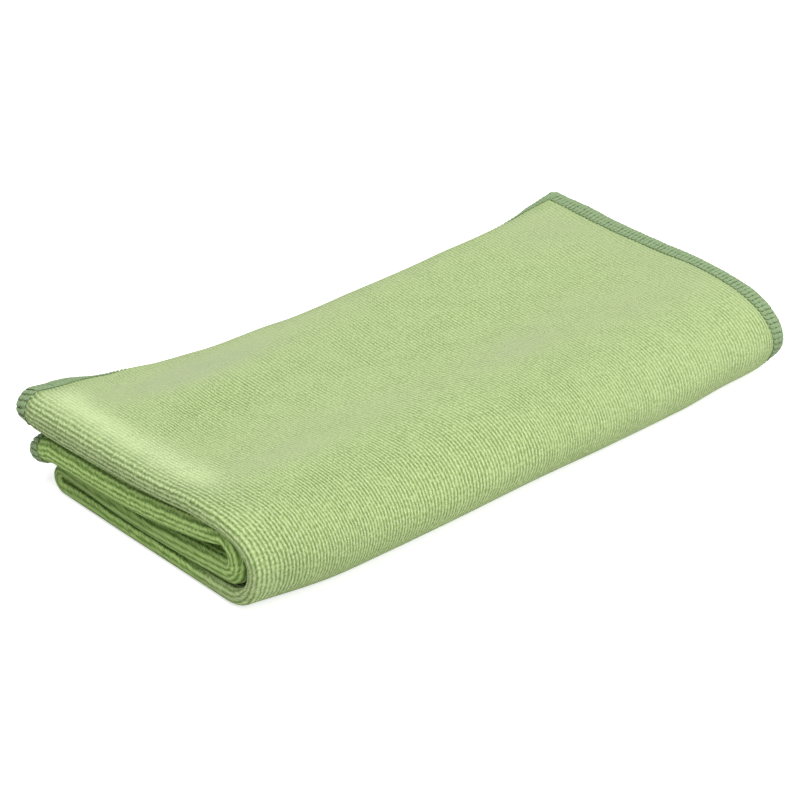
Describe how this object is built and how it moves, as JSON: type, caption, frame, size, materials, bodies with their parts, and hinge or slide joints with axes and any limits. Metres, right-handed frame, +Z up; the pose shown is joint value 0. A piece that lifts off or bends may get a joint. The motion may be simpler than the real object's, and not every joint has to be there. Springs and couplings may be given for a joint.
{
  "type": "folded microfibre cleaning cloth",
  "caption": "Ribbed microfibre cleaning cloth with an overlocked edge, folded into a flat rectangular pad.",
  "frame": {"origin": "centre of the pad's bounding box, on the surface that it rests on", "axes": "+X along the pad from the rolled end to the end with the hems, +Y from the front wrap to the free edges, +Z up"},
  "size_m": [0.2026, 0.1046, 0.0267],
  "materials": {
    "green_microfibre": "matt ribbed microfibre knit, slightly fluffy"
  },
  "bodies": {
    "root": {"cloth": "green_microfibre"}
  },
  "joints": []
}
